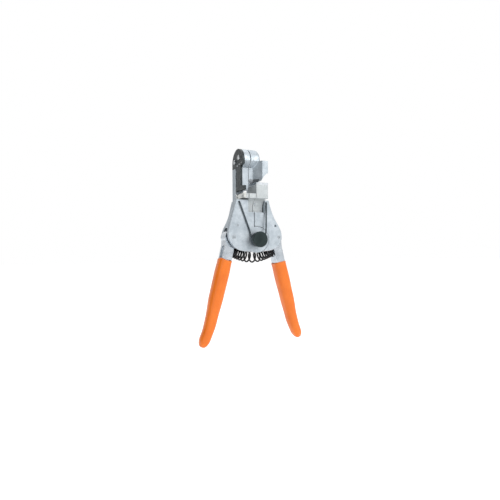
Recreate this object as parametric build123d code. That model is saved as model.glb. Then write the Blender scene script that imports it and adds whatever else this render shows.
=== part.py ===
"""Automatic wire stripper: two half-frames on one hub, sliding lower jaws and two sprung handles.

Drawn about the hub, whose axis runs along Y: +X is to the right, +Z up to the jaws and -Y is
the front. Every node is lifted at the end, so that the grips' tips stand at Z = 0.
"""

from build123d import *
import math
import os

# ---- driving dimensions, mm and degrees ----
PARTING_X = -2.2  # the plane where the two halves meet
PARTING_GAP = 0.4  # between the halves

# cheeks: the pear-shaped side walls of the two half-frames
CHEEK_OUT = 11.0  # outer face, from the middle plane
CHEEK_THICK = 4.0
CHEEK_TOP = 35.0  # height over the hub
LEFT_TOP_X = 19.4  # how far the cheeks reach at their top, left and right of the hub
RIGHT_TOP_X = 11.8
LEFT_SHOULDER_X = 24.4  # half way up
RIGHT_SHOULDER_X = 18.6
LEFT_WIDE_X = 26.6  # at their widest
RIGHT_WIDE_X = 25.0
CHEEK_WIDE_Z = 3.0
CHEEK_LOW_SHARE = 0.7  # of the widest reach, where the edge turns in under the hub
CHEEK_LOW_Z = -8.3
LEFT_LIP = 4.4  # the front cheek's shoulder stands this far proud of the spine
RIGHT_LIP = 0.8
CHEEK_EASE = 0.45
SPINE_THICK = 3.0
SLOT_DOWN = 2.5  # the slot in the left spine, from the cheeks' top
SLOT_HIGH = 8.5
SLOT_BACK_Y = -1.5
LEFT_SPINE_FOOT_Z = 10.5  # the spine stops over the handle's boss
SPINE_GAP = 2.0  # the right spine stops this far over the jaw's foot, which rises under it

# hub: the cheeks lap over each other, half and half, in a disc round the pivot bolt
LAP_RADIUS = 11.5
LAP_GAP = 0.3
FACE_GAP = 0.1  # between two lapped faces
LAP_OPEN = 20.0  # degrees each side of straight down that only the discs fill
BOLT_RADIUS = 4.0
RUNNING_GAP = 0.05  # radial clearance on pins and bolts that turn
SPACER_RADIUS = 6.2

# cap, torsion spring and nut on the pivot bolt
CAP_RADIUS = 6.9
CAP_THICK = 3.2
CAP_ROUND = 0.8
COIL_RADIUS = 5.8  # mean radius of the torsion spring
COIL_TURNS = 2.5
COIL_GAP = 0.25  # between the coil and the cap
WIRE = 1.3
LEG_OFFSET = 1.6  # the legs step out from the coil and rise straight to the knee
LEG_KNEE_Z = 8.0
NUT_FLATS = 13.0
NUT_THICK = 4.0
WASHER_RADIUS = 8.0
WASHER_THICK = 1.0
ANCHOR_IN = 2.6  # the spring's hooks, in from the cheek's top corners
ANCHOR_DOWN = 2.2
ANCHOR_DEEP = 2.5

# handles
PIN_X = 22.0
PIN_Z = 2.0
PIN_RADIUS = 2.0
PIN_DIMPLE = 0.8
RIVET_X = 18.4  # a flush rivet in the left cheeks, an oil hole in the right ones
RIVET_Z = 12.4
RIVET_RADIUS = 1.1
BOSS_RADIUS = 6.0
HANDLE_DEEP = 11.0
SHANK_WIDE = 8.4
TANG_WIDE = 5.4  # the shank's tang inside the grip
TANG_DEEP = 8.0
ARM_WIDE = 7.0
NOSE_RADIUS = 2.5
LEFT_ARM = 17.5  # from the handle's pin to the nose that lifts the jaw, along X
RIGHT_ARM = 10.6
NOSE_GAP = 0.05
GROOVE_DEEP = 1.2
GROOVE_WIDE = 6.0
GROOVE_TOP_Z = -4.0
GROOVE_LOW_Z = -15.8
LEFT_GRIP_Z = -17.2
RIGHT_GRIP_Z = -20.4
GRIP_WIDE = 12.2
GRIP_DEEP = 15.0
HANDLE_LINE = [(23.6, -6.0), (26.4, -18.0), (35.2, -52.0), (41.4, -76.0), (48.2, -92.5)]
TANG_END = 0.86  # share of the centre line
GRIP_RIM_SHARE = 0.93  # of the full section
# places along the centre line, each with its share of the full section; the first is a length
# below the rim
GRIP_BODY = [(0.02, 0.99), (0.35, 1.0), (0.55, 0.95), (0.75, 0.86), (0.9, 0.82)]
GRIP_TIP = [(0.9, 0.82), (0.955, 0.79), (0.985, 0.67), (1.0, 0.44)]

# lower jaws
JAW_FOOT_Z = 16.0
FOOT_THICK = 3.6
LEFT_FOOT_X = 11.0
RIGHT_FOOT_X = 14.2
NECK_RIVET_X = -0.3
NECK_RIVET_DOWN = 3.4  # under the cheeks' top
NECK_RIVET_RADIUS = 1.0
NECK_RIVET_DEEP = 2.2
STEM_DEEP = 6.8  # half the depth of what slides between the cheeks
NECK_LEFT_X = 7.8
NECK_RIGHT_X = 7.5
WINDOW_GAP = 0.4
WINDOW_DEEP = 11.0  # down from the cheeks' top
HEAD_FRONT = 15.0
HEAD_BACK = 4.2
HEAD_GAP = 1.0  # over the cheeks' top
LEFT_HEAD_HIGH = 4.0
RIGHT_HEAD_HIGH = 12.0
PAD_THICK = 2.0
LEFT_FACE_X = 11.6  # where the blades lie against the left jaws
RIGHT_FACE_X = 9.4
BLADE_THICK = 2.0
BLADE_FRONT = 14.4
BLADE_SEAT_X = 8.6  # the blade lies in a step in the front of the left lower jaw
BLADE_SEAT_DEEP = 1.2
NOTCH_PITCH = 3.1
NOTCH_RADII = [0.55, 0.7, 0.85, 1.0, 1.2]
FIRST_NOTCH_Y = -12.2
LEAD_IN = 1.25  # half the width of the V in front of a notch
LEFT_MOUTH = 2.4  # between the two blades at rest
RIGHT_MOUTH = 1.6  # between the two grip pads at rest
TOOTH_HIGH = 0.6
SERRATION_PITCH = 1.4
SERRATION_DEEP = 0.5

# upper jaws
HEAD_HALF_DEEP = 12.0
ARCH_RISE = 26.0  # from the blade's edge to the centre of the round top
LEFT_TOP_END_X = 6.1
RIGHT_TOP_START_X = 5.7
RIGHT_TOP_END_X = 4.1
WALL_FRONT = 6.5  # the set-back front of the upper jaws
SLANT_HIGH = 5.5
HEAD_ROUND = 0.6
END_ROUND = 3.0  # at the right end of the right upper jaw's round top
NOSE_RISE = 0.4  # over the centre of the round top
NOSE_LEFT_X = 1.7
NOSE_FRONT_X = 3.8
NOSE_RIGHT_X = 9.6
NOSE_CUT_HIGH = 7.2
NOSE_CUT_X = 3.2
COLUMN_FRONT = 4.6
COLUMN_GAP = 0.5  # between the column's overhang and the cheeks' top
STEM_CUT_DOWN = 4.0  # the stem is cut back to clear the column from here, under the cheeks' top
BLADE_HEAD_DOWN = 4.6  # from the centre of the round top
BLADE_NECK_BACK = 2.2
BLADE_FOOT_HIGH = 4.6
SCREW_RADIUS = 2.1
SCREW_LENGTH = 5.5
SCREW_PLACES = [(-4.2, 3.6), (5.6, 1.2)]  # in Y, and over the centre of the round top
STUD_RADIUS = 0.6
STUD_PLACES = [(-8.6, -1.6), (-4.2, -2.2), (0.2, -2.8)]
SMALL_SCREW_RADIUS = 1.0
SMALL_SCREW_SHANK = 0.6
LOWER_SCREWS = [(-10.6, 1.8), (1.4, 1.8)]  # in Y, and over the head's foot

# compression spring between the handles
COMPRESSION_RADIUS = 4.7
COMPRESSION_WALL = 0.5
COMPRESSION_Z = -10.0
COMPRESSION_BOW = 6.0
PEG_RADIUS = 3.2
PEG_LENGTH = 5.0


# ---- values worked out from them ----
CHEEK_IN = CHEEK_OUT - CHEEK_THICK
LAP_Y = CHEEK_OUT - CHEEK_THICK / 2
LEFT_SIDE = PARTING_X - PARTING_GAP / 2
RIGHT_SIDE = PARTING_X + PARTING_GAP / 2
BLADE_FACE_X = LEFT_FACE_X + BLADE_THICK
RIGHT_SPINE_FOOT_Z = JAW_FOOT_Z + FOOT_THICK + SPINE_GAP
WINDOW_Z = CHEEK_TOP - WINDOW_DEEP
NECK_RIVET_Z = CHEEK_TOP - NECK_RIVET_DOWN
STEM_TOP_Z = CHEEK_TOP - STEM_CUT_DOWN
COLUMN_FOOT_Z = CHEEK_TOP + COLUMN_GAP
HEAD_FOOT_Z = CHEEK_TOP + HEAD_GAP
LEFT_HEAD_TOP = HEAD_FOOT_Z + LEFT_HEAD_HIGH
RIGHT_HEAD_TOP = HEAD_FOOT_Z + RIGHT_HEAD_HIGH
BLADE_TOP = LEFT_HEAD_TOP + TOOTH_HIGH
UPPER_BLADE_Z = BLADE_TOP + LEFT_MOUTH
PAD_TOP = RIGHT_HEAD_TOP + PAD_THICK
UPPER_PAD_Z = PAD_TOP + RIGHT_MOUTH
ARCH_Z = UPPER_BLADE_Z + ARCH_RISE
SLANT_FOOT_Z = ARCH_Z - SLANT_HIGH
NOSE_TOP_Z = ARCH_Z + NOSE_RISE
NOSE_CUT_Z = UPPER_PAD_Z + NOSE_CUT_HIGH
BLADE_HEAD_Z = ARCH_Z - BLADE_HEAD_DOWN
BLADE_FOOT_TOP = UPPER_BLADE_Z + BLADE_FOOT_HIGH
BLADE_SCREWS = [(y, ARCH_Z + rise) for y, rise in SCREW_PLACES]
BLADE_STUDS = [(y, ARCH_Z + rise) for y, rise in STUD_PLACES]
JAW_SCREWS = [(y, HEAD_FOOT_Z + rise) for y, rise in LOWER_SCREWS]
COIL_BACK_Y = CHEEK_OUT + FACE_GAP
COIL_FRONT_Y = COIL_BACK_Y + (COIL_TURNS + 1) * WIRE
CAP_BACK_Y = COIL_FRONT_Y + COIL_GAP - FACE_GAP
REACH_Y = CAP_BACK_Y + CAP_THICK
WINDOW_LEFT_X = NECK_LEFT_X + WINDOW_GAP
WINDOW_RIGHT_X = NECK_RIGHT_X + WINDOW_GAP


# ---- helpers ----
def across(face_on_plane, y_front, y_back):
    """Solid between two depths from a sketch in X and Z."""
    return extrude(Plane.XZ.offset(-y_back) * face_on_plane, y_back - y_front)


def along(face_on_plane, x_left, x_right):
    """Solid between two X planes from a sketch in Y and Z."""
    return extrude(Plane.YZ.offset(x_left) * face_on_plane, x_right - x_left)


def polygon(points):
    return make_face(Polyline(*points, close=True))


def block(x0, x1, y0, y1, z0, z1):
    size = (x1 - x0, y1 - y0, z1 - z0)
    return Pos((x0 + x1) / 2, (y0 + y1) / 2, (z0 + z1) / 2) * Box(*size)


def rod_y(x, z, radius, y0, y1):
    """Round bar along Y."""
    return Pos(x, (y0 + y1) / 2, z) * Rot(90, 0, 0) * Cylinder(radius, y1 - y0)


def rod_x(y, z, radius, x0, x1):
    """Round bar along X."""
    return Pos((x0 + x1) / 2, y, z) * Rot(0, 90, 0) * Cylinder(radius, x1 - x0)


# ---- half-frames ----
def cheek_outline(side, drop):
    """Half of the pear: side is -1 for the left half; drop narrows the shoulder."""
    if side < 0:
        inner, top_x, shoulder_x, wide_x = LEFT_SIDE, LEFT_TOP_X, LEFT_SHOULDER_X, LEFT_WIDE_X
    else:
        inner, top_x, shoulder_x, wide_x = RIGHT_SIDE, RIGHT_TOP_X, RIGHT_SHOULDER_X, RIGHT_WIDE_X
    low_angle = math.radians(LAP_OPEN)
    low = (side * LAP_RADIUS * math.sin(low_angle), -LAP_RADIUS * math.cos(low_angle))
    top = (side * (top_x - drop), CHEEK_TOP)
    edge = Spline(
        top,
        (side * (shoulder_x - drop), CHEEK_TOP / 2),
        (side * (wide_x - 0.3 * drop), CHEEK_WIDE_Z),
        (side * wide_x * CHEEK_LOW_SHARE, CHEEK_LOW_Z),
        low,
        tangents=[(side * 0.3, -1), (-side * math.cos(low_angle), -0.12)],
    )
    inside = Polyline(low, (inner, 0), (inner, CHEEK_TOP), top)
    return make_face([edge, inside])


def eased_outside(layer, y_face):
    """Ease the rim of a cheek's outer face, but for its arc round the hub."""
    rim = layer.faces().filter_by(Axis.Y).sort_by(Axis.Y)[0 if y_face < 0 else -1].edges()
    return chamfer(rim.filter_by(GeomType.BSPLINE) + rim.filter_by(GeomType.LINE), CHEEK_EASE)


def lapped_cheeks(side):
    """Both cheeks of one half. It owns the outer disc on one face and the inner on the other."""
    hub = Circle(LAP_RADIUS)
    clear = Circle(LAP_RADIUS + LAP_GAP)
    lip = LEFT_LIP if side < 0 else RIGHT_LIP
    step = FACE_GAP / 2
    overlap = 0.4
    solids = []
    for face, outline in ((-1, cheek_outline(side, 0)), (1, cheek_outline(side, lip))):
        owns_outer = side == face
        with_disc, without_disc = outline + hub, outline - clear
        outer = with_disc if owns_outer else without_disc
        inner = without_disc if owns_outer else with_disc
        layers = [
            (outer, LAP_Y + step, CHEEK_OUT),
            (inner, CHEEK_IN, LAP_Y - step),
            (without_disc, LAP_Y - step - overlap, LAP_Y + step + overlap),
        ]
        for number, (shape, low, high) in enumerate(layers):
            ends = sorted((face * low, face * high))
            layer = across(shape, *ends)
            solids.append(eased_outside(layer, face) if number == 0 else layer)
    return solids[0].fuse(*solids[1:])


def spine(side):
    """The wall that joins the two cheeks along their outer edge."""
    whole = cheek_outline(side, LEFT_LIP if side < 0 else RIGHT_LIP)
    inside = Pos(-side * SPINE_THICK, 0) * whole
    wall = across(whole - inside, -CHEEK_IN - 1, CHEEK_IN + 1)
    reach = side * (LEFT_WIDE_X + 5)
    near = side * 6.0
    foot_z = LEFT_SPINE_FOOT_Z if side < 0 else RIGHT_SPINE_FOOT_Z
    keep = block(min(reach, near), max(reach, near), -20, 20, foot_z, CHEEK_TOP)
    return wall & keep


def spine_slot():
    """Opening in the left spine, just behind the front cheek's shoulder."""
    top_z = CHEEK_TOP - SLOT_DOWN
    return block(
        -LEFT_WIDE_X, -WINDOW_LEFT_X - 4.0, -CHEEK_IN, SLOT_BACK_Y, top_z - SLOT_HIGH, top_z
    )


def upper_jaw_profile(low_z):
    """Round-topped jaw in Y and Z, set back under a slanted brow."""
    deep = HEAD_HALF_DEEP
    arch = ThreePointArc((-deep, ARCH_Z), (0, ARCH_Z + deep), (deep, ARCH_Z))
    rest = Polyline(
        (deep, ARCH_Z),
        (deep, low_z),
        (-WALL_FRONT, low_z),
        (-WALL_FRONT, SLANT_FOOT_Z),
        (-deep, ARCH_Z),
    )
    return make_face([arch, rest])


def upper_jaw(low_z, x_left, x_right, rounded):
    """The jaw's solid, with the rims of its round top eased: rounded gives each end's radius."""
    jaw = along(upper_jaw_profile(low_z), x_left, x_right)
    for end, radius in rounded:
        face = jaw.faces().filter_by(Axis.X).sort_by(Axis.X)[end]
        rims = face.edges().filter_by(GeomType.CIRCLE)
        jaw = fillet(rims, radius)
    return jaw


def anchor_hole(side):
    """Blind hole in the front cheek for one hook of the torsion spring."""
    x, z = anchor_point(side)
    return rod_y(x, z, WIRE / 2 + 0.1, -CHEEK_OUT - 1, -CHEEK_OUT + ANCHOR_DEEP + 0.2)


def anchor_point(side):
    top_x = LEFT_TOP_X if side < 0 else RIGHT_TOP_X
    return side * (top_x - ANCHOR_IN), CHEEK_TOP - ANCHOR_DOWN


def window():
    """The cut in the front cheeks that the lower jaws' necks stand in."""
    return block(-WINDOW_LEFT_X, WINDOW_RIGHT_X, -20, -CHEEK_IN + 0.01, WINDOW_Z, CHEEK_TOP + 1)


def pin_holes(side):
    holes = rod_y(side * PIN_X, PIN_Z, PIN_RADIUS, -20, 20)
    holes += rod_y(side * RIVET_X, RIVET_Z, RIVET_RADIUS, -20, 20)
    return holes


def column(x0, x1, top_z):
    """The post behind the mouth that carries an upper jaw."""
    post = block(x0, x1, COLUMN_FRONT, HEAD_HALF_DEEP, COLUMN_FOOT_Z, top_z)
    root = block(x0, x1, CHEEK_IN, HEAD_HALF_DEEP, WINDOW_Z + 2, COLUMN_FOOT_Z)
    root = chamfer(root.edges().filter_by(Axis.X).group_by(Axis.Z)[0].sort_by(Axis.Y)[-1], 0.9)
    return post + root


def make_left_frame():
    frame = lapped_cheeks(-1) + spine(-1)
    frame += column(-BLADE_FACE_X, -LEFT_TOP_END_X, BLADE_HEAD_Z - 0.2)
    frame += upper_jaw(
        UPPER_BLADE_Z + 1.0, -LEFT_FACE_X, -LEFT_TOP_END_X, [(-1, HEAD_ROUND)]
    )
    frame -= spine_slot()
    frame -= window()
    frame -= anchor_hole(-1)
    frame -= pin_holes(-1)
    frame -= rod_y(0, 0, BOLT_RADIUS, -20, 20)
    for y, z in BLADE_SCREWS:
        frame -= rod_x(y, z, SCREW_RADIUS / 2, -BLADE_FACE_X, -LEFT_FACE_X + 4)
    return frame


def make_right_frame():
    frame = lapped_cheeks(1) + spine(1)
    frame += column(0.4, NOSE_RIGHT_X, NOSE_TOP_Z)
    frame += upper_jaw(
        UPPER_PAD_Z + PAD_THICK, -RIGHT_TOP_START_X, RIGHT_TOP_END_X,
        [(0, HEAD_ROUND), (-1, END_ROUND)],
    )
    nose_plan = polygon(
        [
            (-RIGHT_TOP_START_X, -WALL_FRONT),
            (-NOSE_LEFT_X, -WALL_FRONT),
            (NOSE_FRONT_X, -HEAD_FRONT),
            (NOSE_RIGHT_X, -HEAD_FRONT),
            (NOSE_RIGHT_X, HEAD_HALF_DEEP),
            (-RIGHT_TOP_START_X, HEAD_HALF_DEEP),
        ]
    )
    nose = extrude(Plane.XY.offset(UPPER_PAD_Z) * nose_plan, NOSE_TOP_Z - UPPER_PAD_Z)
    nose = fillet(nose.edges().filter_by(Axis.Z).sort_by(Axis.Y)[:2], HEAD_ROUND)
    nose = fillet(nose.faces().sort_by(Axis.Z)[-1].edges().sort_by(Axis.Y)[:4], HEAD_ROUND)
    lead_in = Polyline(
        (NOSE_CUT_X, UPPER_PAD_Z), (NOSE_RIGHT_X + 1, UPPER_PAD_Z), (NOSE_RIGHT_X + 1, NOSE_CUT_Z),
        (NOSE_RIGHT_X, NOSE_CUT_Z),
    )
    flare = ThreePointArc(
        (NOSE_RIGHT_X, NOSE_CUT_Z), (NOSE_CUT_X + 3.0, UPPER_PAD_Z + 4.8), (NOSE_CUT_X, UPPER_PAD_Z)
    )
    nose -= across(make_face([lead_in, flare]), -HEAD_FRONT - 1, COLUMN_FRONT)
    nose -= upper_pad_block()
    frame += nose
    frame -= upper_pad_block()
    frame -= window()
    frame -= anchor_hole(1)
    frame -= pin_holes(1)
    frame -= rod_y(0, 0, BOLT_RADIUS + RUNNING_GAP, -20, 20)
    return frame


# ---- blades and pads ----
def notched(blade, edge_z, up):
    """Cut the row of stripping notches into a blade's edge, the smallest at the front."""
    for n, radius in enumerate(NOTCH_RADII):
        y = FIRST_NOTCH_Y + n * NOTCH_PITCH
        blade -= rod_x(y, edge_z, radius, -BLADE_FACE_X - 1, -LEFT_FACE_X + 1)
        tip = edge_z + up * radius * 1.2
        flank = [(y - LEAD_IN, edge_z), (y + LEAD_IN, edge_z), (y, tip)]
        blade -= along(polygon(flank), -BLADE_FACE_X - 1, -LEFT_FACE_X + 1)
    return blade


def make_upper_blade():
    """Round-headed plate that narrows to a neck and widens to the cutting foot."""
    deep = HEAD_HALF_DEEP
    arch = ThreePointArc((-deep, ARCH_Z), (0, ARCH_Z + deep), (deep, ARCH_Z))
    rest = Polyline(
        (deep, ARCH_Z),
        (deep, BLADE_HEAD_Z - 0.2),
        (BLADE_NECK_BACK, BLADE_HEAD_Z),
        (BLADE_NECK_BACK, BLADE_FOOT_TOP),
        (HEAD_BACK, BLADE_FOOT_TOP - 0.8),
        (HEAD_BACK, UPPER_BLADE_Z),
        (-BLADE_FRONT, UPPER_BLADE_Z),
        (-BLADE_FRONT, BLADE_FOOT_TOP - 0.8),
        (-WALL_FRONT, BLADE_FOOT_TOP),
        (-WALL_FRONT, BLADE_HEAD_Z + 0.8),
        (-deep, BLADE_HEAD_Z + 1.6),
        (-deep, ARCH_Z),
    )
    blade = along(make_face([arch, rest]), -BLADE_FACE_X, -LEFT_FACE_X)
    blade = notched(blade, UPPER_BLADE_Z, 1)
    for y, z in BLADE_SCREWS:
        blade -= rod_x(y, z, SCREW_RADIUS / 2, -BLADE_FACE_X - 1, -LEFT_FACE_X + 1)
    for y, z in BLADE_STUDS:
        blade -= rod_x(y, z, STUD_RADIUS, -BLADE_FACE_X - 1, -LEFT_FACE_X + 1)
    return blade


def cap_screw(y, z, x_face):
    """Slotted cheese-head screw that points along +X."""
    head = rod_x(y, z, SCREW_RADIUS, x_face - 1.3, x_face)
    head = chamfer(head.edges().group_by(Axis.X)[0], 0.35)
    head -= block(x_face - 2, x_face - 0.75, y - 0.3, y + 0.3, z - 3, z + 3)
    return head + rod_x(y, z, SCREW_RADIUS / 2, x_face - 0.2, x_face + SCREW_LENGTH)


def make_blade_screws():
    return [cap_screw(y, z, -BLADE_FACE_X) for y, z in BLADE_SCREWS]


def make_blade_studs():
    studs = []
    for y, z in BLADE_STUDS:
        stud = rod_x(y, z, STUD_RADIUS, -BLADE_FACE_X - 0.25, -LEFT_FACE_X)
        studs.append(chamfer(stud.edges().group_by(Axis.X)[0], 0.2))
    return studs


def make_lower_blade():
    blade = block(
        -BLADE_FACE_X, -LEFT_FACE_X, -BLADE_FRONT, HEAD_BACK, HEAD_FOOT_Z + 0.2, BLADE_TOP
    )
    blade = notched(blade, BLADE_TOP, -1)
    for y, z in JAW_SCREWS:
        blade -= rod_x(y, z, SMALL_SCREW_SHANK, -BLADE_FACE_X - 1, -LEFT_FACE_X + 1)
    return blade


def make_lower_blade_screws():
    screws = []
    for y, z in JAW_SCREWS:
        head = rod_x(y, z, SMALL_SCREW_RADIUS, -BLADE_FACE_X - 0.7, -BLADE_FACE_X)
        head = chamfer(head.edges().group_by(Axis.X)[0], 0.2)
        shank = rod_x(y, z, SMALL_SCREW_SHANK, -BLADE_FACE_X - 0.2, -LEFT_FACE_X + 3)
        screws.append(head + shank)
    return screws


def serrated(pad, x0, x1, z):
    """V grooves along Y in a pad's gripping face."""
    count = int((x1 - x0) / SERRATION_PITCH)
    deep = SERRATION_DEEP
    for n in range(count):
        x = x0 + (n + 0.5) * SERRATION_PITCH
        groove = polygon([(x - 0.9 * deep, z), (x, z - deep), (x + 0.9 * deep, z), (x, z + deep)])
        pad -= across(groove, -HEAD_FRONT - 1, HEAD_BACK + 1)
    return pad


def upper_pad_block():
    return block(
        -RIGHT_TOP_START_X, NOSE_CUT_X, -HEAD_HALF_DEEP, HEAD_BACK, UPPER_PAD_Z,
        UPPER_PAD_Z + PAD_THICK,
    )


def make_upper_grip_pad():
    share = (HEAD_HALF_DEEP - WALL_FRONT) / (HEAD_FRONT - WALL_FRONT)
    slant_x = -NOSE_LEFT_X + (NOSE_LEFT_X + NOSE_FRONT_X) * share
    plan = polygon(
        [
            (-RIGHT_TOP_START_X, -WALL_FRONT),
            (-NOSE_LEFT_X, -WALL_FRONT),
            (slant_x, -HEAD_HALF_DEEP),
            (NOSE_CUT_X, -HEAD_HALF_DEEP),
            (NOSE_CUT_X, HEAD_BACK),
            (-RIGHT_TOP_START_X, HEAD_BACK),
        ]
    )
    pad = extrude(Plane.XY.offset(UPPER_PAD_Z) * plan, PAD_THICK)
    return serrated(pad, -RIGHT_TOP_START_X, NOSE_CUT_X, UPPER_PAD_Z)


def make_lower_grip_pad():
    pad = block(RIGHT_SIDE, RIGHT_FACE_X, -HEAD_FRONT, HEAD_BACK, RIGHT_HEAD_TOP, PAD_TOP)
    return serrated(pad, RIGHT_SIDE, RIGHT_FACE_X, PAD_TOP)


# ---- lower jaws ----
def jaw_section(top_z):
    """Stem between the cheeks, cove under the head, and the head itself, in Y and Z."""
    cove = HEAD_FRONT - STEM_DEEP
    centre_z = HEAD_FOOT_Z - cove
    bend = cove * math.sqrt(0.5)
    arc = ThreePointArc(
        (-HEAD_FRONT, HEAD_FOOT_Z),
        (-HEAD_FRONT + bend, centre_z + bend),
        (-STEM_DEEP, centre_z),
    )
    rest = Polyline(
        (-STEM_DEEP, centre_z),
        (-STEM_DEEP, JAW_FOOT_Z),
        (STEM_DEEP, JAW_FOOT_Z),
        (STEM_DEEP, STEM_TOP_Z),
        (HEAD_BACK, STEM_TOP_Z),
        (HEAD_BACK, top_z),
        (-HEAD_FRONT, top_z),
        (-HEAD_FRONT, HEAD_FOOT_Z),
    )
    return make_face([arc, rest])


def make_lower_jaw(side):
    """One lower jaw: side is -1 for the cutting jaw on the left."""
    inner = LEFT_SIDE if side < 0 else RIGHT_SIDE
    neck = -NECK_LEFT_X if side < 0 else NECK_RIGHT_X
    face = -LEFT_FACE_X if side < 0 else RIGHT_FACE_X
    foot = -LEFT_FOOT_X if side < 0 else RIGHT_FOOT_X
    top_z = LEFT_HEAD_TOP if side < 0 else RIGHT_HEAD_TOP
    jaw = along(jaw_section(top_z), min(inner, neck), max(inner, neck))
    head = block(min(inner, face), max(inner, face), -HEAD_FRONT, HEAD_BACK, HEAD_FOOT_Z, top_z)
    jaw += fillet(head.edges().filter_by(Axis.Z).group_by(Axis.Y)[0], HEAD_ROUND)
    jaw += block(
        min(inner, foot), max(inner, foot), -STEM_DEEP, STEM_DEEP, JAW_FOOT_Z,
        JAW_FOOT_Z + FOOT_THICK,
    )
    if side < 0:
        seat_y = BLADE_SEAT_DEEP - HEAD_FRONT
        jaw -= block(face - 1, -BLADE_SEAT_X, -HEAD_FRONT - 1, seat_y, HEAD_FOOT_Z - 1, top_z + 1)
        for y, z in JAW_SCREWS:
            jaw -= rod_x(y, z, SMALL_SCREW_SHANK, -LEFT_FACE_X - 1, -LEFT_FACE_X + 3)
    else:
        jaw -= rod_y(NECK_RIVET_X, NECK_RIVET_Z, NECK_RIVET_RADIUS, -HEAD_FRONT, -STEM_DEEP + NECK_RIVET_DEEP)
    return jaw


def make_neck_rivet():
    """Its domed head stands just out of the cove under the right jaw's head."""
    front = -STEM_DEEP - 1.5
    shank = rod_y(NECK_RIVET_X, NECK_RIVET_Z, NECK_RIVET_RADIUS, front, -STEM_DEEP + NECK_RIVET_DEEP)
    return fillet(shank.edges().group_by(Axis.Y)[0], 0.4)


# ---- hub ----
def make_pivot_bolt():
    return rod_y(0, 0, BOLT_RADIUS, -CAP_BACK_Y, CHEEK_OUT + NUT_THICK)


def make_hub_spacer():
    ring = rod_y(0, 0, SPACER_RADIUS, -CHEEK_IN + 0.1, CHEEK_IN)
    return ring - rod_y(0, 0, BOLT_RADIUS, -20, 20)


def make_hub_cap():
    cap = rod_y(0, 0, CAP_RADIUS, -REACH_Y, -CAP_BACK_Y)
    return fillet(cap.edges().group_by(Axis.Y)[0], CAP_ROUND)


def make_pivot_washer():
    ring = rod_y(0, 0, WASHER_RADIUS, CHEEK_OUT, CHEEK_OUT + WASHER_THICK)
    return ring - rod_y(0, 0, BOLT_RADIUS, -20, 20)


def make_pivot_nut():
    """Domed nut whose crown reaches as far behind as the cap does in front."""
    flats = RegularPolygon(NUT_FLATS / 2, 6, major_radius=False)
    start = CHEEK_OUT + WASHER_THICK
    nut = across(flats, start, start + NUT_THICK)
    dome_start = start + NUT_THICK
    rise = REACH_Y - dome_start
    rim = NUT_FLATS / 2 - 0.5
    ball = (rim**2 + rise**2) / (2 * rise)
    dome = Pos(0, REACH_Y - ball, 0) * Sphere(ball)
    nut += dome & block(-20, 20, dome_start - 0.5, REACH_Y + 1, -20, 20)
    return nut - rod_y(0, 0, BOLT_RADIUS, -20, CHEEK_OUT + NUT_THICK)


def make_torsion_spring():
    """The coil's envelope round the bolt, and the two legs with their hooks.

    The left leg leaves the turn next to the cheek, the right leg the turn next to the cap.
    """
    coil = rod_y(0, 0, COIL_RADIUS + WIRE / 2, -COIL_FRONT_Y, -COIL_BACK_Y)
    coil -= rod_y(0, 0, COIL_RADIUS - WIRE / 2, -COIL_FRONT_Y - 1, -COIL_BACK_Y + 1)
    hook_y = -COIL_BACK_Y - WIRE / 2
    front_y = -COIL_FRONT_Y + WIRE / 2
    solids = [coil]
    for side, start_z, start_y in ((-1, 3.0, hook_y), (1, 1.0, front_y)):
        x, z = anchor_point(side)
        leg_x = side * (COIL_RADIUS + LEG_OFFSET)
        share = (LEG_KNEE_Z - start_z) / (z - start_z)
        path = FilletPolyline(
            (leg_x, start_y, start_z),
            (leg_x, start_y + (hook_y - start_y) * share, LEG_KNEE_Z),
            (x, hook_y, z),
            (x, -CHEEK_OUT + ANCHOR_DEEP, z),
            radius=1.2,
        )
        section = Plane(origin=path @ 0, z_dir=path % 0) * Circle(WIRE / 2)
        solids.append(sweep(section, path=path))
    return solids


# ---- handles ----
def handle_curve(side):
    return Spline(*[(side * x, 0, z) for x, z in HANDLE_LINE])


def ribbon(side, wide, first, last, steps=14):
    """Strip of even width along the handle's centre line, in X and Z."""
    curve = handle_curve(side)
    left, right = [], []
    for n in range(steps + 1):
        t = first + (last - first) * n / steps
        at, way = curve @ t, curve % t
        out = (-way.Z * wide / 2, way.X * wide / 2)
        left.append((at.X + out[0], at.Z + out[1]))
        right.append((at.X - out[0], at.Z - out[1]))
    edges = [Spline(*left), Line(left[-1], right[-1]), Spline(*right[::-1]), Line(right[0], left[0])]
    return make_face(edges)


def grip_start(side):
    """Share of the centre line at which the grip begins."""
    curve = handle_curve(side)
    top_z = LEFT_GRIP_Z if side < 0 else RIGHT_GRIP_Z
    low, high = 0.0, 1.0
    for _ in range(30):
        middle = (low + high) / 2
        if (curve @ middle).Z > top_z:
            low = middle
        else:
            high = middle
    return low


def make_tang(side):
    half = TANG_DEEP / 2
    return across(ribbon(side, TANG_WIDE, grip_start(side) - 0.02, TANG_END), -half, half)


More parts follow.
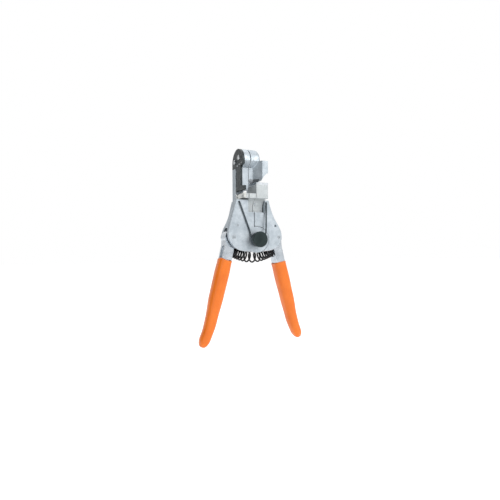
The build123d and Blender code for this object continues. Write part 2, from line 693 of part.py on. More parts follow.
def make_shank(side):
    """Cast handle: pivot boss, arm and nose inside the frame, shank, and tang in the grip."""
    half = HANDLE_DEEP / 2
    arm_length = LEFT_ARM if side < 0 else RIGHT_ARM
    pin = (side * PIN_X, PIN_Z)
    nose = (side * (PIN_X - arm_length), JAW_FOOT_Z - NOSE_GAP - NOSE_RADIUS)
    upper = ribbon(side, SHANK_WIDE, 0, grip_start(side))
    boss = Pos(*pin) * Circle(BOSS_RADIUS)
    neck = polygon(
        [
            (pin[0] - side * BOSS_RADIUS * 0.9, PIN_Z + 1.0),
            (pin[0] + side * BOSS_RADIUS * 0.9, PIN_Z - 1.0),
            (side * (HANDLE_LINE[0][0] + SHANK_WIDE / 2), HANDLE_LINE[0][1] - 1.0),
            (side * (HANDLE_LINE[0][0] - SHANK_WIDE / 2), HANDLE_LINE[0][1] + 1.0),
        ]
    )
    reach = math.hypot(nose[0] - pin[0], nose[1] - pin[1])
    angle = math.degrees(math.atan2(nose[1] - pin[1], nose[0] - pin[0]))
    taper = [(0, -ARM_WIDE / 2), (reach, -NOSE_RADIUS * 0.95), (reach, NOSE_RADIUS * 0.95),
             (0, ARM_WIDE / 2)]
    arm = Pos(*pin) * Rot(0, 0, angle) * polygon(taper)
    tip = Pos(*nose) * Circle(NOSE_RADIUS)
    solid = across(upper + boss + neck, -half, half)
    solid += across(arm + tip + boss, -half, half)
    for way in (-1, 1):
        edge = upper - Pos(way * GROOVE_DEEP, 0) * upper
        groove = across(edge, -GROOVE_WIDE / 2, GROOVE_WIDE / 2)
        solid -= groove & block(-60, 60, -20, 20, GROOVE_LOW_Z, GROOVE_TOP_Z)
    solid += make_tang(side)
    solid -= rod_y(pin[0], PIN_Z, PIN_RADIUS + RUNNING_GAP, -20, 20)
    return solid - peg_rod(side, PEG_RADIUS * 0.5, -3.0, 0.5)


def grip_section(side, t, share):
    curve = handle_curve(side)
    plane = Plane(origin=curve @ t, x_dir=(0, 1, 0), z_dir=curve % t)
    wide, deep = GRIP_WIDE * share, GRIP_DEEP * share
    return plane * RectangleRounded(deep, wide, min(wide, deep) * 0.42)


def make_grip(side):
    """Dipped grip: a swept rounded section that ends in a round tip."""
    start = grip_start(side)
    (rim_length, after_rim), *rest = GRIP_BODY
    stations = [(start, GRIP_RIM_SHARE), (start + rim_length, after_rim), *rest]
    body = loft([grip_section(side, t, share) for t, share in stations])
    body += loft([grip_section(side, t, share) for t, share in GRIP_TIP])
    return body - make_tang(side)


# ---- pegs and compression spring between the handles ----
def bow_point(share):
    """Centre of the bowed spring, from the left handle (0) to the right one (1)."""
    half = shank_inner_x()
    x = -half + 2 * half * share
    return x, COMPRESSION_Z - COMPRESSION_BOW * math.sin(math.pi * share)


def shank_inner_x():
    (x0, z0), (x1, z1) = HANDLE_LINE[:2]
    share = (z0 - COMPRESSION_Z) / (z0 - z1)
    return x0 + (x1 - x0) * share - SHANK_WIDE / 2 + GROOVE_DEEP


def peg_place(side):
    return side * shank_inner_x(), 0, COMPRESSION_Z


def peg_rod(side, radius, start, length):
    """Round bar that leaves the shank towards the middle, along the spring's end."""
    x, _, z = peg_place(side)
    slope = math.atan2(math.pi * COMPRESSION_BOW, 2 * shank_inner_x())
    way = Vector(-side * math.cos(slope), 0, -math.sin(slope))
    plane = Plane(origin=Vector(x, 0, z) + way * start, z_dir=way)
    return extrude(plane * Circle(radius), length - start)


def make_spring_peg(side, shank):
    peg = peg_rod(side, PEG_RADIUS, 0.25, PEG_LENGTH) + peg_rod(side, PEG_RADIUS * 0.5, -2.6, 0.6)
    return peg - shank


def make_compression_spring():
    """Envelope of the bowed coil spring, as a thin tube."""
    points = [bow_point(0.09 + 0.82 * n / 6) for n in range(7)]
    path = Spline(*[(x, 0, z) for x, z in points])
    plane = Plane(origin=path @ 0, z_dir=path % 0)
    ring = Circle(COMPRESSION_RADIUS) - Circle(COMPRESSION_RADIUS - COMPRESSION_WALL)
    return sweep(plane * ring, path=path)


# ---- pins ----
def make_handle_pin(side):
    """Flush pin with a small centre dimple in each end."""
    pin = rod_y(side * PIN_X, PIN_Z, PIN_RADIUS, -CHEEK_OUT, CHEEK_OUT)
    for end in (-CHEEK_OUT, CHEEK_OUT):
        pin -= rod_y(side * PIN_X, PIN_Z, PIN_DIMPLE, end - 0.8, end + 0.8)
    return pin


def make_cheek_rivets():
    """Flush rivets in the left half's cheeks."""
    front = rod_y(-RIVET_X, RIVET_Z, RIVET_RADIUS, -CHEEK_OUT, -CHEEK_IN)
    back = rod_y(-RIVET_X, RIVET_Z, RIVET_RADIUS, CHEEK_IN, CHEEK_OUT)
    return [front, back]


def build_nodes():
    nodes = {
        "left_frame": make_left_frame(),
        "right_frame": make_right_frame(),
        "upper_blade": make_upper_blade(),
        "blade_screws": make_blade_screws(),
        "blade_studs": make_blade_studs(),
        "lower_blade": make_lower_blade(),
        "lower_blade_screws": make_lower_blade_screws(),
        "upper_grip_pad": make_upper_grip_pad(),
        "lower_grip_pad": make_lower_grip_pad(),
        "left_lower_jaw": make_lower_jaw(-1),
        "right_lower_jaw": make_lower_jaw(1),
        "neck_rivet": make_neck_rivet(),
        "cheek_rivets": make_cheek_rivets(),
        "pivot_bolt": make_pivot_bolt(),
        "hub_spacer": make_hub_spacer(),
        "hub_cap": make_hub_cap(),
        "pivot_washer": make_pivot_washer(),
        "pivot_nut": make_pivot_nut(),
        "torsion_spring": make_torsion_spring(),
        "compression_spring": make_compression_spring(),
    }
    for side, name in ((-1, "left"), (1, "right")):
        shank = make_shank(side)
        nodes[name + "_shank"] = shank
        nodes[name + "_grip"] = make_grip(side)
        nodes[name + "_spring_peg"] = make_spring_peg(side, shank)
        nodes[name + "_handle_pin"] = make_handle_pin(side)
    return nodes


def main():
    os.makedirs("parts", exist_ok=True)
    nodes = build_nodes()
    lift = -nodes["left_grip"].bounding_box().min.Z
    print("hub axis stands at Z", round(lift, 3))
    for name, shape in nodes.items():
        solids = shape if isinstance(shape, list) else [shape]
        solids = [one for solid in solids for one in solid.solids()]
        whole = Compound(children=[Pos(0, 0, lift) * one for one in solids])
        export_step(whole, f"parts/{name}.step")
        box = whole.bounding_box()
        print(name, len(solids), [round(v, 2) for v in (*box.min, *box.max)])


main()
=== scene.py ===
"""Looks of the automatic wire stripper: materials, springs, dipped grips, light and camera."""

import math

import bpy
from mathutils import Matrix, Vector


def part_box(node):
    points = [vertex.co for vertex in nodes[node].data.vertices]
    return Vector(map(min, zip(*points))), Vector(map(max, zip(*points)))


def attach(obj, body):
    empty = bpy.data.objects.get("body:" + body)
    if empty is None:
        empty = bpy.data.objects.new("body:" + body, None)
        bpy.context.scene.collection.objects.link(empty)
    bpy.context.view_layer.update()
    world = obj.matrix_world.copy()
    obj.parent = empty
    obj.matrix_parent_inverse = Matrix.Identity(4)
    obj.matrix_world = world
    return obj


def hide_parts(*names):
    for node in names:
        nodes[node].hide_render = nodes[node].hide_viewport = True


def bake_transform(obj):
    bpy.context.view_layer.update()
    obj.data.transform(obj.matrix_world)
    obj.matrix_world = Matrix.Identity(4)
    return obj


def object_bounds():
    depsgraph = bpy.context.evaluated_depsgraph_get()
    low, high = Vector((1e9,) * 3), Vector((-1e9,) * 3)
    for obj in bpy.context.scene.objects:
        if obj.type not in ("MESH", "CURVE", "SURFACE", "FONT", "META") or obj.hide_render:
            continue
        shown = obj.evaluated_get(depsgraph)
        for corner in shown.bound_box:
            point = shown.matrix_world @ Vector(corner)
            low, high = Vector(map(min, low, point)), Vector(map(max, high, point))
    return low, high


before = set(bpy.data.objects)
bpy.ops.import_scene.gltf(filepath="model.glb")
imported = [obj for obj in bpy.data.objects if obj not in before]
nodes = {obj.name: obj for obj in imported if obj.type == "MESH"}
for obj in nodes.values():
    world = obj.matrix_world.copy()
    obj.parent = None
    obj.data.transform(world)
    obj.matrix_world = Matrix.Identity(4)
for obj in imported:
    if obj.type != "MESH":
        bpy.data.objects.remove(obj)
cad_low, cad_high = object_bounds()

# ---- sizes, in millimetres, about the hub ----
cap_low, cap_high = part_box("hub_cap")
HUB_Z = (cap_low.z + cap_high.z) / 2
COIL_RADIUS = 5.8
COIL_TURNS = 2.5
WIRE = 1.3
COIL_START_Y = -11.75
COIL_END_Y = -15.0
COIL_EXIT_OUT = 0.5  # how far the wire steps out where it leaves the coil
COIL_EXIT_Z = 2.6
LEG_X = 7.4
LEG_KNEE_Z = 8.0
LEG_BEND = 1.3  # radius of the bends in the legs
RIGHT_LEG_BACK = 0.7  # the right leg's knee, behind the coil's front
LEFT_HOOK_X = -16.8
RIGHT_HOOK_X = 9.2
HOOK_Z = 32.8
HOOK_Y = -8.5
BOW_HALF = 21.53  # half the distance between the spring's seats on the two shanks
BOW_Z = -10.0
BOW_SAG = 6.0
BOW_START = 0.045  # share of the bow at which the wire starts
SPRING_RADIUS = 4.1
SPRING_WIRE = 1.5
SPRING_TURNS = 15
SPRING_CROWDING = 0.085  # how much closer the turns stand at the ends
HANDLE_LINE = [(23.6, -6.0), (26.4, -18.0), (35.2, -52.0), (41.4, -76.0), (48.2, -92.5)]
LEFT_GRIP_Z = -17.2
RIGHT_GRIP_Z = -20.4
GRIP_WIDE = 12.2
GRIP_DEEP = 15.0
GRIP_TAPER = [  # share of the length, and share of the full section there
    (0.0, 0.93), (0.03, 0.96), (0.2, 0.99), (0.42, 0.96), (0.68, 0.82), (0.87, 0.74), (1.0, 0.68),
]
GRIP_RIM = [  # the rolled rim: share of the length, and its scale on the section
    (0.0, 0.80), (0.0, 0.90), (0.002, 0.98), (0.006, 1.035), (0.012, 1.045), (0.02, 1.02), (0.03, 1.0),
]
GRIP_SQUARENESS = 2.7  # 2 is an ellipse, more is squarer
FLOOR_DOWN = 11.5  # under the grips, which dip 10 mm when the right half swings out
FLOOR_SIZE = 6000.0
FLOOR_ROWS = 24


def place(x, y, z):
    """A point given in millimetres about the hub, in the frame's metres."""
    return Vector((x / 1000, y / 1000, z / 1000 + HUB_Z))


# ---- materials ----
def new_material(name):
    material = bpy.data.materials.new(name)
    material.use_nodes = True
    tree = material.node_tree
    shader = tree.nodes["Principled BSDF"]
    return material, tree, shader


def add(tree, kind, **settings):
    node = tree.nodes.new(kind)
    for key, value in settings.items():
        setattr(node, key, value)
    return node


def coordinates(tree, scale):
    """Object coordinates, stretched by scale."""
    source = add(tree, "ShaderNodeTexCoord")
    mapping = add(tree, "ShaderNodeMapping")
    mapping.inputs["Scale"].default_value = scale
    tree.links.new(source.outputs["Object"], mapping.inputs["Vector"])
    return mapping.outputs["Vector"]


def noise(tree, size, detail=3.0, roughness=0.5, stretch=(1, 1, 1)):
    """Noise whose features are about size millimetres across."""
    texture = add(tree, "ShaderNodeTexNoise")
    texture.inputs["Scale"].default_value = 1000 / size
    texture.inputs["Detail"].default_value = detail
    texture.inputs["Roughness"].default_value = roughness
    tree.links.new(coordinates(tree, stretch), texture.inputs["Vector"])
    return texture.outputs["Fac"]


def spread(tree, value, low, high, start=0.3, end=0.7):
    """Map a noise value to the range from low to high."""
    node = add(tree, "ShaderNodeMapRange")
    node.inputs["From Min"].default_value = start
    node.inputs["From Max"].default_value = end
    node.inputs["To Min"].default_value = low
    node.inputs["To Max"].default_value = high
    tree.links.new(value, node.inputs["Value"])
    return node.outputs["Result"]


def ramp(tree, value, stops):
    """Colour from a value, by stops of (position, colour)."""
    node = add(tree, "ShaderNodeValToRGB")
    elements = node.color_ramp.elements
    while len(elements) < len(stops):
        elements.new(0.5)
    for element, (position, colour) in zip(elements, stops):
        element.position = position
        element.color = (*colour, 1)
    tree.links.new(value, node.inputs["Fac"])
    return node.outputs["Color"]


def blend_colours(tree, fac, first, second, kind="MIX"):
    node = add(tree, "ShaderNodeMix", data_type="RGBA", blend_type=kind)
    if isinstance(fac, float):
        node.inputs["Factor"].default_value = fac
    else:
        tree.links.new(fac, node.inputs["Factor"])
    for socket, colour in ((node.inputs["A"], first), (node.inputs["B"], second)):
        if isinstance(colour, tuple):
            socket.default_value = (*colour, 1)
        else:
            tree.links.new(colour, socket)
    return node.outputs["Result"]


def bump(tree, layers, normal=None):
    """Stack of bumps: each layer is (height, strength, distance in millimetres)."""
    for height, strength, distance in layers:
        node = add(tree, "ShaderNodeBump")
        node.inputs["Strength"].default_value = strength
        node.inputs["Distance"].default_value = distance / 1000
        tree.links.new(height, node.inputs["Height"])
        if normal is not None:
            tree.links.new(normal, node.inputs["Normal"])
        normal = node.outputs["Normal"]
    return normal


def edge_wear_and_highlight(tree, radius):
    """1 where a face turns an edge, else 0: the rounded normal against the true one; the mask for worn
    edges with a painted highlight.
    """
    soft = add(tree, "ShaderNodeBevel", samples=4)
    soft.inputs["Radius"].default_value = radius / 1000
    true = add(tree, "ShaderNodeNewGeometry")
    product = add(tree, "ShaderNodeVectorMath", operation="DOT_PRODUCT")
    tree.links.new(soft.outputs["Normal"], product.inputs[0])
    tree.links.new(true.outputs["Normal"], product.inputs[1])
    return soft.outputs["Normal"], spread(tree, product.outputs["Value"], 1.0, 0.0, 0.86, 0.995)


def metal(
    name, dark, light, edge_wear_and_highlight_colour, rough, grain=0.35, grain_strength=0.12, brushed=None, metallic=1.0,
    cloud=7.0, edge_radius=0.35, edge_wear_and_highlight_amount=0.7,
):
    """Metal with cloudy tone, fine grain, faint casting waves and brighter edges, partly worn and
    partly a painted highlight.
    """
    material, tree, shader = new_material(name)
    links = tree.links
    tone = ramp(tree, noise(tree, cloud, 4.0, 0.6), [(0.32, dark), (0.68, light)])
    specks = ramp(tree, noise(tree, 0.8, 2.0), [(0.3, (0.86, 0.86, 0.86)), (0.6, (1, 1, 1))])
    tone = blend_colours(tree, 0.7, tone, specks, "MULTIPLY")
    # painted highlight, partly wear: edges are lightened toward a brighter colour, broken up by noise
    rounded, edge_wear_and_highlight_mask = edge_wear_and_highlight(tree, edge_radius)
    broken = spread(tree, noise(tree, 1.6, 3.0), 0.35, 1.0)
    mask = add(tree, "ShaderNodeMath", operation="MULTIPLY")
    links.new(edge_wear_and_highlight_mask, mask.inputs[0])
    links.new(broken, mask.inputs[1])
    amount = add(tree, "ShaderNodeMath", operation="MULTIPLY")
    amount.inputs[1].default_value = edge_wear_and_highlight_amount
    links.new(mask.outputs["Value"], amount.inputs[0])
    tone = blend_colours(tree, amount.outputs["Value"], tone, edge_wear_and_highlight_colour)
    links.new(tone, shader.inputs["Base Color"])
    shader.inputs["Metallic"].default_value = metallic
    links.new(spread(tree, noise(tree, 2.4, 4.0, 0.6), *rough), shader.inputs["Roughness"])
    layers = [
        (noise(tree, 5.0, 2.0), 0.25, 0.06),
        (noise(tree, grain, 2.0), grain_strength, 0.03),
    ]
    if brushed is not None:
        layers.append((noise(tree, 0.5, 3.0, 0.6, brushed), 0.3, 0.02))
    links.new(bump(tree, layers, rounded), shader.inputs["Normal"])
    return material


def plastic_dip(name):
    """Glossy dipped vinyl: even orange with a random cloudy tone, and a soft skin."""
    material, tree, shader = new_material(name)
    links = tree.links
    tone = ramp(
        tree,
        noise(tree, 14.0, 3.0, 0.55),
        [(0.3, (0.715, 0.15, 0.009)), (0.55, (0.77, 0.174, 0.012)), (0.75, (0.82, 0.196, 0.017))],
    )
    dust = ramp(tree, noise(tree, 1.2, 4.0, 0.65), [(0.35, (0.9, 0.88, 0.86)), (0.6, (1, 1, 1))])
    links.new(blend_colours(tree, 0.5, tone, dust, "MULTIPLY"), shader.inputs["Base Color"])
    links.new(spread(tree, noise(tree, 3.0, 4.0, 0.6), 0.3, 0.44), shader.inputs["Roughness"])
    shader.inputs["Specular IOR Level"].default_value = 0.35
    shader.inputs["Coat Weight"].default_value = 0.1
    shader.inputs["Coat Roughness"].default_value = 0.16
    shader.inputs["Subsurface Weight"].default_value = 0.06
    shader.inputs["Subsurface Radius"].default_value = (0.004, 0.0015, 0.0006)
    layers = [
        (noise(tree, 9.0, 2.0), 0.35, 0.12),
        (noise(tree, 0.9, 2.0), 0.1, 0.02),
    ]
    links.new(bump(tree, layers), shader.inputs["Normal"])
    return material


def floor_paint(name):
    material, tree, shader = new_material(name)
    links = tree.links
    tone = ramp(tree, noise(tree, 160.0, 2.0), [(0.3, (0.9, 0.91, 0.92)), (0.7, (0.93, 0.935, 0.94))])
    links.new(tone, shader.inputs["Base Color"])
    shader.inputs["Roughness"].default_value = 0.8
    shader.inputs["Specular IOR Level"].default_value = 0.1
    shader.inputs["Emission Color"].default_value = (1, 1, 1, 1)
    shader.inputs["Emission Strength"].default_value = 0.3
    return material


cast = metal(
    "cast_frame_metal", (0.40, 0.45, 0.49), (0.56, 0.61, 0.65), (0.78, 0.82, 0.85), (0.4, 0.54),
)
forged = metal(
    "polished_shank_metal", (0.42, 0.46, 0.50), (0.60, 0.64, 0.68), (0.8, 0.83, 0.86), (0.16, 0.3),
    grain_strength=0.06, brushed=(1, 1, 0.06),
)
ground = metal(
    "ground_jaw_metal", (0.52, 0.56, 0.59), (0.68, 0.71, 0.74), (0.85, 0.87, 0.89), (0.24, 0.38),
    grain_strength=0.05, brushed=(1, 1, 0.05),
)
milled = metal(
    "milled_jaw_metal", (0.44, 0.475, 0.48), (0.56, 0.59, 0.6), (0.78, 0.8, 0.82), (0.4, 0.55),
    grain_strength=0.06, brushed=(1, 1, 0.05), metallic=0.35,
)
black_oxide = metal(
    "black_oxide_blade", (0.030, 0.036, 0.038), (0.062, 0.072, 0.075), (0.34, 0.37, 0.38),
    (0.3, 0.48), grain=0.3, metallic=0.85, edge_wear_and_highlight_amount=0.55,
)
bright = metal(
    "bright_blade", (0.58, 0.60, 0.58), (0.76, 0.77, 0.74), (0.92, 0.92, 0.9), (0.2, 0.34),
    grain_strength=0.05, brushed=(1, 0.05, 1),
)
hardened = metal(
    "hardened_pad", (0.22, 0.24, 0.26), (0.36, 0.38, 0.40), (0.6, 0.62, 0.64), (0.26, 0.42),
)
plated = metal(
    "plated_screw", (0.42, 0.44, 0.45), (0.62, 0.64, 0.65), (0.8, 0.81, 0.82), (0.24, 0.38),
    grain_strength=0.05,
)
pin_metal = metal(
    "flush_pin", (0.36, 0.40, 0.43), (0.52, 0.56, 0.59), (0.72, 0.75, 0.78), (0.22, 0.36),
    grain_strength=0.05,
)
cap_metal = metal(
    "dark_cap", (0.016, 0.026, 0.026), (0.032, 0.048, 0.048), (0.2, 0.25, 0.25), (0.36, 0.52),
    metallic=0.7, edge_wear_and_highlight_amount=0.5,
)
leg_wire = metal(
    "dark_spring_wire", (0.045, 0.058, 0.066), (0.085, 0.102, 0.112), (0.25, 0.28, 0.3), (0.28, 0.42),
    metallic=0.85, edge_wear_and_highlight_amount=0.2,
)
black_wire = metal(
    "black_spring_wire", (0.008, 0.008, 0.009), (0.02, 0.02, 0.022), (0.12, 0.12, 0.13), (0.26, 0.4),
    metallic=0.6, edge_wear_and_highlight_amount=0.15,
)
orange = plastic_dip("orange_dip")

NODE_LOOKS = {
    cast: ["left_frame", "right_frame"],
    forged: ["left_shank", "right_shank"],
    milled: ["left_lower_jaw", "right_lower_jaw"],
    ground: ["lower_grip_pad"],
    black_oxide: ["upper_blade"],
    bright: ["lower_blade"],
    hardened: ["upper_grip_pad"],
    plated: ["blade_screws", "blade_studs", "lower_blade_screws", "pivot_washer", "pivot_nut"],
    pin_metal: [
        "neck_rivet", "cheek_rivets", "hub_spacer", "left_spring_peg", "right_spring_peg",
        "left_handle_pin", "right_handle_pin",
    ],
    cap_metal: ["pivot_bolt", "hub_cap"],
    leg_wire: ["torsion_spring"],
    black_wire: ["compression_spring"],
    orange: ["left_grip", "right_grip"],
}
for material, names in NODE_LOOKS.items():
    for name in names:
        node = nodes[name]
        node.data.materials.clear()
        node.data.materials.append(material)


# ---- mesh helpers ----
def new_object(name, verts, faces, material):
    mesh = bpy.data.meshes.new(name)
    mesh.from_pydata([tuple(v) for v in verts], [], faces)
    mesh.materials.append(material)
    mesh.polygons.foreach_set("use_smooth", [True] * len(mesh.polygons))
    mesh.update()
    piece = bpy.data.objects.new(name, mesh)
    bpy.context.scene.collection.objects.link(piece)
    return piece


def rings_to_faces(count, sides, closed):
    """Quads between successive rings, with a fan of points at the closed ends."""
    faces = []
    for ring in range(count - 1):
        for side in range(sides):
            after = (side + 1) % sides
            a, b = ring * sides + side, ring * sides + after
            faces.append((a, b, b + sides, a + sides))
    if closed:
        first, last = count * sides, count * sides + 1
        for side in range(sides):
            after = (side + 1) % sides
            faces.append((first, after, side))
            end = (count - 1) * sides
            faces.append((last, end + side, end + after))
    return faces


def tube(name, points, radius, material, sides=14, rounded=(True, True)):
    """Round wire along points, with rounded or flat ends."""
    points = [Vector(p) for p in points]
    ways = []
    for n, point in enumerate(points):
        before, after = points[max(n - 1, 0)], points[min(n + 1, len(points) - 1)]
        ways.append((after - before).normalized())
    normal = ways[0].orthogonal().normalized()
    path, sizes, frames = [], [], []
    caps = [0.35, 0.75, 0.95]
    for n, point in enumerate(points):
        if n:
            normal = ways[n - 1].rotation_difference(ways[n]) @ normal
        side = ways[n].cross(normal).normalized()
        if n == 0 and rounded[0]:
            for size in caps:
                path.append(point - ways[0] * radius * (math.sqrt(1 - size**2) - 0.3))
                sizes.append(radius * size)
                frames.append((normal.copy(), side))
        path.append(point)
        sizes.append(radius)
        frames.append((normal.copy(), side))
        if n == len(points) - 1 and rounded[1]:
            for size in reversed(caps):
                path.append(point + ways[n] * radius * (math.sqrt(1 - size**2) - 0.3))
                sizes.append(radius * size)
                frames.append((normal.copy(), side))
    verts = []
    for point, size, (across, up) in zip(path, sizes, frames):
        for k in range(sides):
            turn = 2 * math.pi * k / sides
            verts.append(point + (across * math.cos(turn) + up * math.sin(turn)) * size)
    verts.append(path[0])
    verts.append(path[-1])
    return new_object(name, verts, rings_to_faces(len(path), sides, True), material)


def smooth_line(corners, radius, steps=7):
    """Points along straight runs joined by small arcs of about the given radius."""
    points = [corners[0]]
    for before, corner, after in zip(corners, corners[1:], corners[2:]):
        back, ahead = (before - corner).normalized(), (after - corner).normalized()
        reach = min(radius, (before - corner).length * 0.45, (after - corner).length * 0.45)
        start, end = corner + back * reach, corner + ahead * reach
        for n in range(steps + 1):
            t = n / steps
            points.append(start * (1 - t) ** 2 + corner * 2 * t * (1 - t) + end * t**2)
    points.append(corners[-1])
    return points


# ---- torsion spring: a coil with the left leg, and the right leg ----
left_leg = [
    place(LEFT_HOOK_X, HOOK_Y, HOOK_Z),
    place(LEFT_HOOK_X, COIL_START_Y, HOOK_Z),
    place(-LEG_X, COIL_START_Y, LEG_KNEE_Z),
    place(-COIL_RADIUS - COIL_EXIT_OUT, COIL_START_Y, COIL_EXIT_Z),
]
coil = smooth_line(left_leg, LEG_BEND / 1000)
coil_steps = int(COIL_TURNS * 40)
for step in range(coil_steps + 1):
    angle = math.pi + 2 * math.pi * COIL_TURNS * step / coil_steps
    depth = COIL_START_Y + (COIL_END_Y - COIL_START_Y) * step / coil_steps
    coil.append(place(COIL_RADIUS * math.cos(angle), depth, COIL_RADIUS * math.sin(angle)))
torsion_coil = tube("torsion_coil", coil, WIRE / 2000, leg_wire, rounded=(True, False))
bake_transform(torsion_coil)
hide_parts("torsion_spring")

right_leg = [
    place(COIL_RADIUS, COIL_END_Y, -0.2),
    place(COIL_RADIUS + COIL_EXIT_OUT, COIL_END_Y, COIL_EXIT_Z),
    place(LEG_X, COIL_END_Y + RIGHT_LEG_BACK, LEG_KNEE_Z),
    place(RIGHT_HOOK_X, COIL_START_Y, HOOK_Z),
    place(RIGHT_HOOK_X, HOOK_Y, HOOK_Z),
]
torsion_leg = tube(
    "torsion_right_leg", smooth_line(right_leg, LEG_BEND / 1000), WIRE / 2000, leg_wire,
    rounded=(False, True),
)
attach(torsion_leg, "right_frame")


# ---- compression spring: one bowed coil, cut in three at fixed shares of its length ----
def bow(share):
    x = -BOW_HALF + 2 * BOW_HALF * share
    return Vector((x, 0, BOW_Z - BOW_SAG * math.sin(math.pi * share)))


def bow_way(share):
    return (bow(share + 0.001) - bow(share - 0.001)).normalized()


def coil_angle(share):
    """Angle along the bow: the turns stand close at both ends and open in the middle."""
    return 2 * math.pi * SPRING_TURNS * (share + SPRING_CROWDING * math.sin(2 * math.pi * share))


def spring_points(first, last, start=BOW_START, end=1 - BOW_START, steps_per_turn=22):
    steps = int(SPRING_TURNS * steps_per_turn * (last - first)) + 1
    points = []
    for n in range(steps + 1):
        t = first + (last - first) * n / steps
        share = start + (end - start) * t
        way = bow_way(share)
        side = Vector((0, 1, 0))
        up = way.cross(side).normalized()
        angle = coil_angle(t)
        radius = SPRING_RADIUS * (0.94 + 0.06 * math.sin(math.pi * t))
        at = bow(share) + (up * math.cos(angle) + side * math.sin(angle)) * radius
        points.append(place(at.x, at.y, at.z))
    return points


CUT_LEFT, CUT_RIGHT = 0.30, 0.70
SPRING_PARTS = [
    ("spring_left_end", 0.0, CUT_LEFT, "left_handle", "left_frame", (True, False)),
    ("spring_middle", CUT_LEFT, CUT_RIGHT, "left_frame", "right_frame", (False, False)),
    ("spring_right_end", CUT_RIGHT, 1.0, "right_frame", "right_handle", (False, True)),
]
for name, first, last, body_a, body_b, ends in SPRING_PARTS:
    line = spring_points(first, last)
    piece = tube(name, line, SPRING_WIRE / 2000, black_wire, sides=12, rounded=ends)
    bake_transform(piece)
    if name == "spring_middle":
        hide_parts("compression_spring")


# ---- dipped grips ----
def line_point(side, t):
    """Catmull-Rom curve through the handle's centre line, t from 0 to 1."""
    points = [Vector((side * x, 0, z)) for x, z in HANDLE_LINE]
    lengths = [0.0]
    for a, b in zip(points, points[1:]):
        lengths.append(lengths[-1] + (b - a).length)
    at = t * lengths[-1]
    span = max(n for n in range(len(points) - 1) if lengths[n] <= at + 1e-9)
    u = (at - lengths[span]) / (lengths[span + 1] - lengths[span])
    chain = [points[0] * 2 - points[1], *points, points[-1] * 2 - points[-2]]
    a, b, c, d = chain[span : span + 4]
    return 0.5 * (2 * b + (c - a) * u + (2 * a - 5 * b + 4 * c - d) * u**2
                  + (3 * b - a - 3 * c + d) * u**3)


def line_way(side, t):
    low, high = max(t - 0.004, 0), min(t + 0.004, 1)
    return (line_point(side, high) - line_point(side, low)).normalized()


def rim_share(side, top_z):
    """Share of the line where the grip's rim stands."""
    return min((abs(line_point(side, n / 400).z - top_z), n / 400) for n in range(400))[1]


def grip_size(t, side):
    """Share of the full section at a share t of the grip's length, slightly uneven."""
    for (t0, s0), (t1, s1) in zip(GRIP_TAPER, GRIP_TAPER[1:]):
        if t0 <= t <= t1:
            u = (t - t0) / (t1 - t0)
            share = s0 + (s1 - s0) * (3 * u * u - 2 * u**3)
            break
    wobble = 0.010 * math.sin(9 * t + side) + 0.006 * math.sin(23 * t + 2 * side)
    return share * (1 + wobble)


def make_grip(name, side, top_z, body):
    """Skin swept down the handle: a rolled rim that covers the shank, and a round tip."""
    sides = 40
    rim = rim_share(side, top_z)
    stations = list(GRIP_RIM)
    for n in range(1, 45):
        stations.append((0.03 + 0.87 * n / 44, 1.0))
    for n in range(1, 13):
        turn = math.pi / 2 * n / 12
        stations.append((0.9 + 0.1 * math.sin(turn), max(math.cos(turn), 0.02) ** 0.72))
    verts = []
    for t, scale in stations:
        along = rim + (1 - rim) * t
        at, way = line_point(side, along), line_way(side, along)
        out = Vector((0, 1, 0)).cross(way).normalized()
        size = grip_size(t, side) * scale
        for k in range(sides):
            turn = 2 * math.pi * k / sides
            c, s = math.cos(turn), math.sin(turn)
            power = 2 / GRIP_SQUARENESS
            across = math.copysign(abs(c) ** power, c) * GRIP_WIDE / 2
            deep = math.copysign(abs(s) ** power, s) * GRIP_DEEP / 2
            ragged = 0.35 * math.sin(2 * turn + side) + 0.2 * math.sin(3 * turn)
            lift = ragged * max(1 - t / 0.02, 0)
            point = at + (out * across + Vector((0, deep, 0))) * size + way * lift
            verts.append(place(*point))
    first = Vector((0, 0, 0))
    for v in verts[:sides]:
        first += v
    last = Vector((0, 0, 0))
    for v in verts[-sides:]:
        last += v
    verts += [first / sides, last / sides]
    piece = new_object(name, verts, rings_to_faces(len(stations), sides, True), orange)
    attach(piece, body)
    return piece


left_skin = make_grip("left_dipped_grip", -1, LEFT_GRIP_Z, "left_handle")
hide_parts("left_grip")
right_skin = make_grip("right_dipped_grip", 1, RIGHT_GRIP_Z, "right_handle")
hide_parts("right_grip")


# ---- floor, light and camera ----
floor_verts = []
for i in range(FLOOR_ROWS + 1):
    for j in range(FLOOR_ROWS + 1):
        x = (i / FLOOR_ROWS - 0.5) * FLOOR_SIZE / 1000
        y = (j / FLOOR_ROWS - 0.5) * FLOOR_SIZE / 1000
        floor_verts.append((x, y, 0))
floor_faces = []
for i in range(FLOOR_ROWS):
    for j in range(FLOOR_ROWS):
        a = i * (FLOOR_ROWS + 1) + j
        floor_faces.append((a, a + FLOOR_ROWS + 1, a + FLOOR_ROWS + 2, a + 1))
floor = new_object("studio_floor", floor_verts, floor_faces, floor_paint("floor_white"))
floor.location.z = cad_low.z - FLOOR_DOWN / 1000


def area_light(name, place_at, target, size, power, tint=(1, 1, 1)):
    data = bpy.data.lights.new(name, "AREA")
    data.shape = "RECTANGLE"
    data.size = size[0]
    data.size_y = size[1]
    data.energy = power
    data.color = tint
    light = bpy.data.objects.new(name, data)
    light.location = place_at
    light.rotation_euler = (Vector(target) - Vector(place_at)).to_track_quat("-Z", "Y").to_euler()
    bpy.context.scene.collection.objects.link(light)


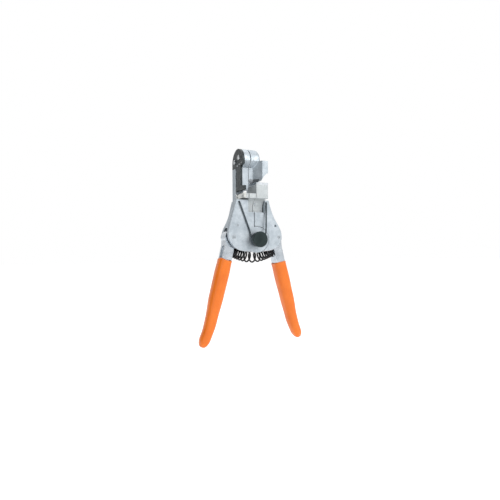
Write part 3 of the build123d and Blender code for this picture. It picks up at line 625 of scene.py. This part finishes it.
MIDDLE = (0, 0, 0.1)
area_light("key_light", (0.55, -0.75, 0.75), MIDDLE, (0.5, 0.5), 3.2)
area_light("fill_light", (-0.7, -0.5, 0.35), MIDDLE, (0.35, 0.6), 1.5)
area_light("top_light", (0.0, 0.25, 0.95), MIDDLE, (0.8, 0.6), 1.6)

world = bpy.data.worlds.new("studio_world")
bpy.context.scene.world = world
world.use_nodes = True
sky = world.node_tree
background = sky.nodes["Background"]
direction = add(sky, "ShaderNodeTexCoord")
split = add(sky, "ShaderNodeSeparateXYZ")
sky.links.new(direction.outputs["Generated"], split.inputs["Vector"])
# the camera sees plain white; reflections see a darker left side
side_tone = ramp(
    sky,
    spread(sky, split.outputs["X"], 0.0, 1.0, -1.0, 1.0),
    [(0.0, (0.05, 0.055, 0.06)), (0.2, (0.16, 0.17, 0.18)), (0.31, (1.0, 1.0, 1.0)), (1.0, (1, 1, 1))],
)
light_path = add(sky, "ShaderNodeLightPath")
seen = blend_colours(sky, light_path.outputs["Is Camera Ray"], side_tone, (1.0, 1.0, 1.0))
sky.links.new(seen, background.inputs["Color"])
background.inputs["Strength"].default_value = 1.0

AZIMUTH = math.radians(24.5)
DISTANCE = 0.363
BELOW_HUB = 0.0092
LEFT_OF_HUB = 0.0017
ROLL = math.radians(-0.45)
camera_data = bpy.data.cameras.new("photo_camera")
camera_data.sensor_width = 36
camera_data.lens = 28.8
camera_data.clip_start = 0.01
camera_data.clip_end = 20
camera = bpy.data.objects.new("photo_camera", camera_data)
ahead = Vector((math.sin(AZIMUTH), math.cos(AZIMUTH), 0))
right = Vector((math.cos(AZIMUTH), -math.sin(AZIMUTH), 0))
hub = Vector((0, 0, HUB_Z))
camera.location = hub - ahead * DISTANCE - right * LEFT_OF_HUB - Vector((0, 0, BELOW_HUB))
turn = Matrix.Rotation(-AZIMUTH, 4, "Z") @ Matrix.Rotation(math.pi / 2, 4, "X")
camera.rotation_euler = (turn @ Matrix.Rotation(ROLL, 4, "Z")).to_euler()
bpy.context.scene.collection.objects.link(camera)
bpy.context.scene.camera = camera
bpy.context.scene.view_settings.view_transform = "Standard"
